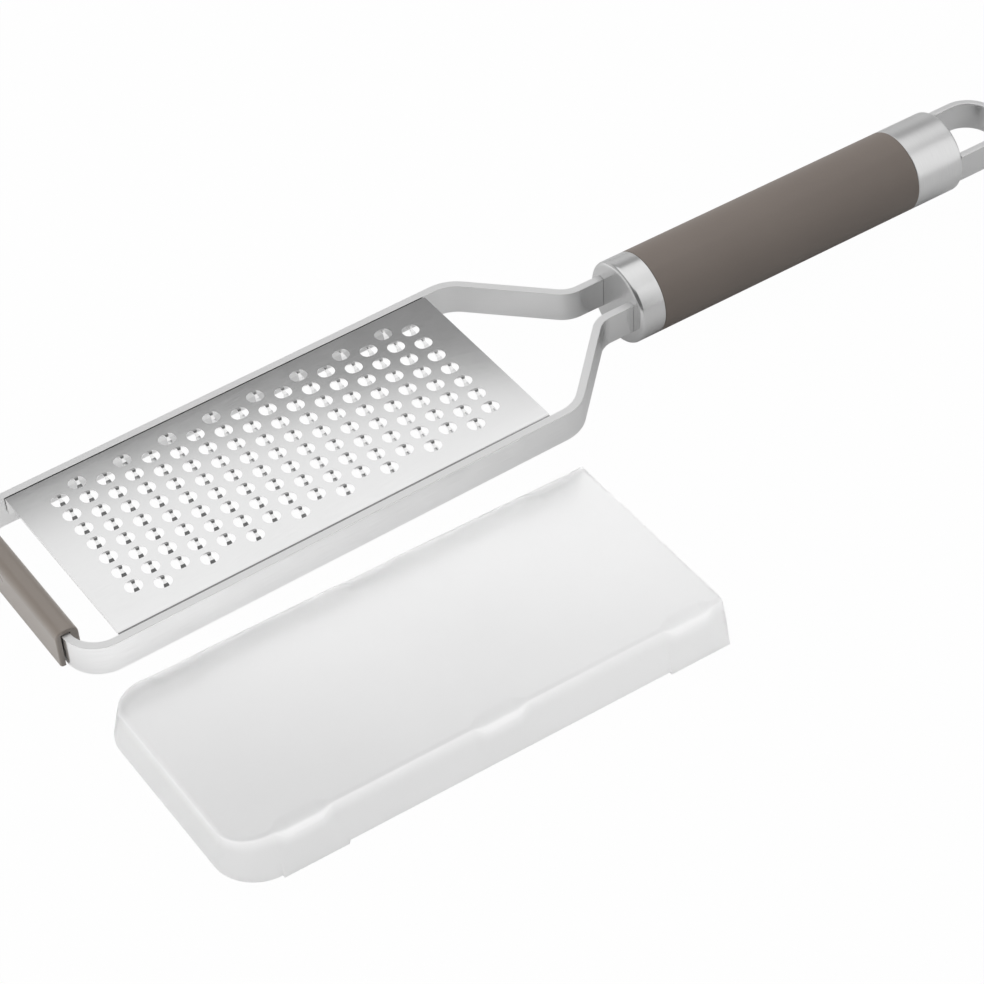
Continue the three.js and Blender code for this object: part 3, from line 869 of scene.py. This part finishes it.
ferrule_profile = np.concatenate([
    arc(ferrule_start + rim_round, handle_radius - rim_round, rim_round, 180, 90, large_arc),
    arc(ferrule_end - rear_round, handle_radius - rear_round, rear_round, 90, 0, small_arc),
    [[ferrule_end, cup_radius], [ferrule_start + ferrule_wall, cup_radius]]])
tang_slot = (tang_spacing / 2, strip_thickness + 2 * slot_clearance, strip_height + 2 * slot_clearance)
ferrule_skin = Skin(handle_place)
turned(ferrule_skin, ferrule_profile)
slotted_disc(ferrule_skin, ferrule_start, handle_radius - rim_round, *tang_slot)
slotted_disc(ferrule_skin, ferrule_start + ferrule_wall, cup_radius, *tang_slot)
slot_walls(ferrule_skin, ferrule_start, ferrule_start + ferrule_wall, *tang_slot, blind=False)
ferrule_skin.piece("ferrule_ring", "grater", ["ferrule"], ferrule_steel)

# %% Grip
sleeve_length = 91.9
sleeve_thickness = 2
sleeve_edge = 0.15
sleeve_seam = 0.04
sleeve_start = ferrule_end + sleeve_seam
sleeve_end = ferrule_end + 2 * gap + sleeve_length - sleeve_seam
sleeve_bore = handle_radius - sleeve_thickness

sleeve_profile = np.concatenate([
    [[sleeve_start, sleeve_bore]],
    arc(sleeve_start + sleeve_edge, handle_radius - sleeve_edge, sleeve_edge, 180, 90, small_arc + 1),
    arc(sleeve_end - sleeve_edge, handle_radius - sleeve_edge, sleeve_edge, 90, 0, small_arc + 1),
    [[sleeve_end, sleeve_bore], [sleeve_start, sleeve_bore]]])
sleeve_skin = Skin(handle_place)
turned(sleeve_skin, sleeve_profile)
sleeve_skin.piece("soft_grip", "grater", ["grip_sleeve"], grip_plastic)

# %% Rear cap
cap_length = 16.7
cap_shell = 1.3
cap_round = 0.7
rod_bore = 3.3
rod_depth = 7
loop_thickness = 2
loop_height = 9.2
loop_tang_length = 12
loop_tang_height = 5
loop_clearance = 0.03
cap_start = sleeve_end + sleeve_seam
cap_end = cap_start + cap_length
loop_width = 2 * (handle_radius - cap_shell)

cap_profile = np.concatenate([
    [[cap_start + rod_depth, 0], [cap_start + rod_depth, rod_bore], [cap_start, rod_bore]],
    arc(cap_start + rear_round, handle_radius - rear_round, rear_round, 180, 90, small_arc),
    arc(cap_end - cap_round, handle_radius - cap_round, cap_round, 90, 0, 2 * small_arc)])
loop_slot = ((loop_width - loop_thickness) / 2, loop_thickness + 2 * loop_clearance,
             loop_tang_height + 2 * loop_clearance)
cap_skin = Skin(handle_place)
turned(cap_skin, cap_profile)
slotted_disc(cap_skin, cap_end, handle_radius - cap_round, *loop_slot)
slot_walls(cap_skin, cap_end, cap_end - loop_tang_length, *loop_slot, blind=True)
cap_skin.piece("rear_cap", "grater", ["end_cap"], cap_steel)

# %% [markdown]
# ## Hanging loop
# A flat strip bent in a U leaves the cap's rear. It is made as the frame is: a rounded rectangle carried
# along a half line and its mirror image, with lower tangs inside the cap.

# %% Hanging loop
loop_reach = 23.9
loop_flat = 2.4
loop_edge = 0.35
loop_closing = cap_end + loop_reach - loop_thickness / 2
loop_radius = (loop_width - loop_thickness - loop_flat) / 2
loop_shoulder = cap_end + gap
loop_tang_end = cap_end - loop_tang_length + gap

loop_places, loop_headings = whole_line(*bent_line((loop_closing, 0), -90, [
    (loop_flat / 2, 0), (loop_radius, -90),
    (loop_closing - loop_radius - loop_shoulder, 0), (step_length, 0),
    (loop_shoulder - loop_tang_end - step_length, 0)]))
in_the_cap = loop_places[:, 0] < loop_shoulder - step_length / 2
loop_heights = np.where(in_the_cap, loop_tang_height / loop_height, 1)
loop_skin = Skin(handle_place)
carried(loop_skin, loop_places, loop_headings,
        rounded_rectangle(loop_thickness, loop_height, loop_edge), loop_heights)
loop_skin.piece("hanging_strip", "grater", ["hanging_loop"], strip_steel)

# %% [markdown]
# ## Storage cover
# A thin moulded tray, open below and at the handle end. Its walls lean in, its front corners are round, and
# three notches on each long side slope down from the top to a small lip. The wall is a surface of two
# parameters: distance round the rim, and height up the section. The top is the ruled surface between its
# far and near edges. The inside is the same surface, drawn in by the wall's thickness.

# %% Cover section
cover_length = 147
cover_width = 70
cover_height = 13.2
cover_wall = 1.2
cover_rim = 1.2
cover_corner = 12
cover_lean = 4
cover_front_lean = 1.6
cover_edge = 1.2
notch_flat = 9
notch_ramp = 4.4
notch_depth = 2
notch_reach = 3.3
notch_lip = 1.4
lip_height = 0.8
lip_round = 0.3
tab_length = 19
tab_ramp = 0.25
first_tab = -61.2
first_notch = -52.8
last_notch = 62.7
notch_centres = np.array([first_notch, (first_notch + last_notch) / 2, last_notch])
tab_ends = np.array([[first_tab, first_tab + tab_length], [cover_length / 2 - tab_length, cover_length]])
edge_steps = 6


def plain_section(inset, lean):
    """From the rim up the leaning wall and round the top edge, as [distance in, height]."""
    turn = np.radians(np.linspace(0, 90, edge_steps + 1))
    shoulder = cover_height - inset - cover_edge
    height = shoulder + cover_edge * np.sin(turn)
    leaning = lean * (height - cover_rim) / (cover_height - cover_rim)
    wall = np.stack([inset + leaning + cover_edge * (1 - np.cos(turn)), height], -1)
    middle = (np.array([inset, cover_rim]) + wall[0]) / 2
    return np.concatenate([[[inset, cover_rim], middle], wall])


def notch_section(inset):
    """The same count of points through a notch: up to the lip, then up the slope to the top."""
    top = cover_height - inset
    edge_in = inset + cover_lean
    lip = edge_in - notch_lip
    slope = np.linspace(0, 1, edge_steps)[:, None]
    low_end = np.array([lip + lip_round, top - notch_depth])
    high_end = np.array([edge_in + notch_reach, top])
    under = np.array([lip - lip_round, top - notch_depth - lip_height])
    middle = (np.array([inset, cover_rim]) + under) / 2
    return np.concatenate([[[inset, cover_rim], middle, under], low_end + (high_end - low_end) * slope])


def smooth(share):
    """Smooth step from 0 to 1."""
    share = np.clip(share, 0, 1)
    return share * share * (3 - 2 * share)


def notch_share(x):
    """How much of a notch there is at a distance along the cover."""
    outside = np.abs(x[:, None] - notch_centres) - notch_flat / 2
    return smooth(1 - outside / notch_ramp).max(axis=1)


def rim_height(x):
    """The rim stands a little above the table, and tabs under the first and last notch reach down to it."""
    inside = np.minimum(x[:, None] - tab_ends[:, 0], tab_ends[:, 1] - x[:, None]).max(axis=1)
    return cover_rim * (1 - np.clip(inside / tab_ramp, 0, 1))


print("sections", plain_section(0, cover_lean).shape, notch_section(0).shape)

# %% Cover skin
corner_steps = 16
front_steps = 12
side_count = 24
ramp_count = 9
least_space = 0.05
corner_x = cover_corner - cover_length / 2
corner_y = cover_width / 2 - cover_corner


def side_stations():
    """Places along the side from the open end to the corner, close together at notches and tabs."""
    spread = np.linspace(cover_length / 2, corner_x, side_count)
    ramp = notch_flat / 2 + notch_ramp * np.linspace(0, 1, ramp_count)
    notches = (notch_centres[:, None, None] + np.array([[1], [-1]]) * ramp).ravel()
    tabs = np.concatenate([tab_ends, tab_ends + [tab_ramp, -tab_ramp]]).ravel()
    places = np.unique(np.concatenate([spread, notches, tabs]).round(4))
    places = places[(places >= corner_x) & (places <= cover_length / 2)]
    apart = np.concatenate([[True], np.diff(places) > least_space])
    return places[apart][::-1]


stations = side_stations()


def far_half(inset):
    """Sections (rows) by stations from the open end round the far corner (columns), as x, y, z."""
    plain = plain_section(inset, cover_lean)[:, None, :]
    notched = notch_section(inset)[:, None, :]
    front = plain_section(inset, cover_front_lean)[:, None, :]
    share = notch_share(stations)[None, :, None]
    section = plain + (notched - plain) * share
    height = section[..., 1].copy()
    height[0] = rim_height(stations)
    side = np.stack([stations + 0 * height, cover_width / 2 - section[..., 0], height], -1)
    turn = np.radians(np.linspace(90, 180, corner_steps + 1))[None, 1:]
    last = side[:, -1:]
    x = corner_x + np.cos(turn) * (cover_corner - front[..., 0])
    y = corner_y + np.sin(turn) * (last[..., 1] - corner_y)
    z = front[..., 1] + (last[..., 2] - front[..., 1]) * np.sin(turn)
    return np.concatenate([side, np.stack([x, y, z], -1)], 1)


def cover_surface(skin, inset):
    """Adds the wall right round and the ruled top, and gives back the rim and the open end.

    The UV holds the distance along and the number of the section's row, which places the painted highlight
    and the painted lighter walls.
    """
    far = far_half(inset)
    near = far[:, ::-1] * [1, -1, 1]
    across = np.linspace(0, 1, front_steps + 1)[None, :, None]
    front = far[:, -1:] + (near[:, :1] - far[:, -1:]) * across
    wall = np.concatenate([far, front[:, 1:-1], near], 1)
    row = np.broadcast_to(np.arange(len(wall))[:, None], wall.shape[:2])
    skin.grid(wall, np.stack([wall[..., 0], row], -1))
    top = far[-1][:, None, :] + (near[-1, ::-1] - far[-1])[:, None, :] * across
    skin.grid(top, np.stack([top[..., 0], np.full(top.shape[:2], len(wall))], -1))
    open_end = np.concatenate([far[:, 0], top[0, 1:-1], near[::-1, -1]])
    return wall[0], open_end


cover_skin = Skin(cover_place)
outer_rim, outer_end = cover_surface(cover_skin, 0)
inner_rim, inner_end = cover_surface(cover_skin, cover_wall)
cover_skin.grid(np.stack([outer_rim, inner_rim]))
cover_skin.grid(np.stack([outer_end, inner_end]))
cover_skin.piece("cover_tray", "cover", ["storage_cover"], frosted_plastic)

# %% [markdown]
# ## Hidden CAD nodes
# The block, pins, rod and core inside the handle keep their CAD shape. They get a finish too, because the
# handle may be opened in an exploded view.

# %% Finishes for the CAD nodes that stay
hidden = dict.fromkeys(("tang_block", "tang_pin", "tie_rod", "loop_pin"), inner_steel)
hidden["grip_core"] = core_plastic
for node, material in hidden.items():
    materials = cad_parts[node].data.materials
    materials.clear()
    materials.append(material)
print("finished", len(hidden), "CAD nodes")

# %% [markdown]
# ## Floor and light
# The photograph is cut out on white, lit by one large softbox overhead whose far edge shows as the change
# from bright to dark across the plate. The floor shows white to the camera and through the cover, and keeps
# a faint shadow. In the steel the floor is painted: brighter at the foot's end and dimmer towards the
# handle, a painted shade for the handle's shadow. A second lamp in the softbox's place and two fills light
# only matte surfaces, so that the steel still shows the darker room round the softbox. A white card at the
# right shows only in the steel, as a bright side of the handle.

# %% Floor
floor_half = 4.0
floor_drop = 0.0001
floor_colour = 0.6
shown_white = 0.985
mirrored_white = 0.3
white_end = -0.04
shadow_end = 0.02
bright_end = -0.13
dim_end = 0.06
bright_floor = 1.35
dim_floor = 0.78


def white_floor():
    """White for camera and transmission rays, mixed with a matte floor that takes the shadow.

    Metal sees more of the matte floor, and at the handle only that, so the shadows show in it. What it sees
    is painted brightest at the foot's end and dimmer towards the handle, a painted shade for the handle's
    shadow.
    """
    material = bpy.data.materials.new("white_floor")
    wire = blank(material)
    camera_ray, glossy_ray, through_ray = [wire.node("LightPath", {}, {}, kind) for kind in (
        "Is Camera Ray", "Is Glossy Ray", "Is Transmission Ray")]
    along = wire.node("TexCoord", {}, {}, OBJECT_COORDINATES).part(0)
    # Painted shade in the reflected floor: brighter than white at the foot's end, dimmer towards the
    # handle.
    painted_floor_shade = along.ramp(bright_end, dim_end, bright_floor, dim_floor)
    direct = (camera_ray + through_ray).ramp(0.0, 1.0)
    mirrored = glossy_ray * (1 - direct)
    shown = direct * shown_white + mirrored * along.ramp(white_end, shadow_end, mirrored_white, 0.0)
    matte = wire.node("BsdfDiffuse", {}, {"Color": floor_colour + mirrored * (painted_floor_shade - floor_colour)})
    glow = wire.node("Emission", {}, {"Color": (1, 1, 1, 1), "Strength": 1 + mirrored * (painted_floor_shade - 1)})
    wire.node("OutputMaterial", {}, {"Surface": wire.node("MixShader", {}, {0: shown, 1: matte, 2: glow})})
    return material


floor_mesh = bpy.data.meshes.new("floor")
floor_corners = np.array([[-1, -1, 0], [1, -1, 0], [1, 1, 0], [-1, 1, 0]]) * floor_half
floor_corners[:, 2] = -floor_drop
floor_mesh.from_pydata(floor_corners, [], [[0, 1, 2, 3]])
floor_mesh.materials.append(white_floor())
floor = in_scene("floor", floor_mesh)
print("floor", 2 * floor_half, "m wide")

# %% Room
room_horizon = 0.62
room_high = 0.26
room_front = 0.15
wall_fades = (0.3, 0.68)
front_fades = (-0.35, 0.2)
GENERATED_COORDINATES = 0

world = bpy.data.worlds.new("studio")
sky = blank(world)
direction = sky.node("TexCoord", {}, {}, GENERATED_COORDINATES)
height = direction.part(2)
depth = direction.part(1)
camera_ray = sky.node("LightPath", {}, {}, "Is Camera Ray")
back_wall = height.ramp(*wall_fades, room_horizon, room_high)
room = room_front + depth.ramp(*front_fades) * (back_wall - room_front)
strength = room + camera_ray * (1 - room)
backdrop = sky.node("Background", {}, {"Color": (1, 1, 1, 1), "Strength": strength})
sky.node("OutputWorld", {}, {"Surface": backdrop})
bpy.context.scene.world = world
print("room", room_front, "in front,", room_horizon, "behind")

# %% Lamps
softbox_place = (0.06, 0.142, 0.70)
softbox_size = (1.2, 1.2)
softbox_glow = 0.75
matte_glow = 1.95
front_place = (0.15, -0.95, 0.45)
front_size = (1.6, 0.8)
front_glow = 0.2
front_target = (0, 0, 0)
left_place = (-0.65, 0.02, 0.15)
left_target = (-0.15, 0, 0)
left_size = (0.8, 0.3)
left_glow = 1.8
card_place = (0.676, -0.549, 0.5)
card_target = (0.135, 0.041, 0.5)
card_size = (0.66, 1.2)
card_glow = 0.86


def lamp(name, place, target, size, glow, shape="RECTANGLE"):
    """A flat lamp that faces a target. Its glow is its power for each square metre, over pi."""
    data = bpy.data.lights.new(name, "AREA")
    data.shape = shape
    data.size, data.size_y = size
    area = size[0] * size[1] * (math.pi / 4 if shape == "ELLIPSE" else 1)
    data.energy = glow * math.pi * area
    made = in_scene(name, data)
    made.location = place
    made.rotation_euler = (Vector(target) - Vector(place)).to_track_quat("-Z", "Y").to_euler()
    print(name, "glow", glow, "at", place)
    return made


below = (*softbox_place[:2], 0)
lamp("softbox", softbox_place, below, softbox_size, softbox_glow, "ELLIPSE")
matte_fill = lamp("matte_fill", softbox_place, below, softbox_size, matte_glow, "ELLIPSE")
front_fill = lamp("front_fill", front_place, front_target, front_size, front_glow)
left_fill = lamp("left_fill", left_place, left_target, left_size, left_glow)
for fill in (matte_fill, front_fill, left_fill):
    fill.visible_glossy = False
    fill.visible_transmission = False
card = lamp("white_card", card_place, card_target, card_size, card_glow)
card.visible_diffuse = False
card.visible_transmission = False
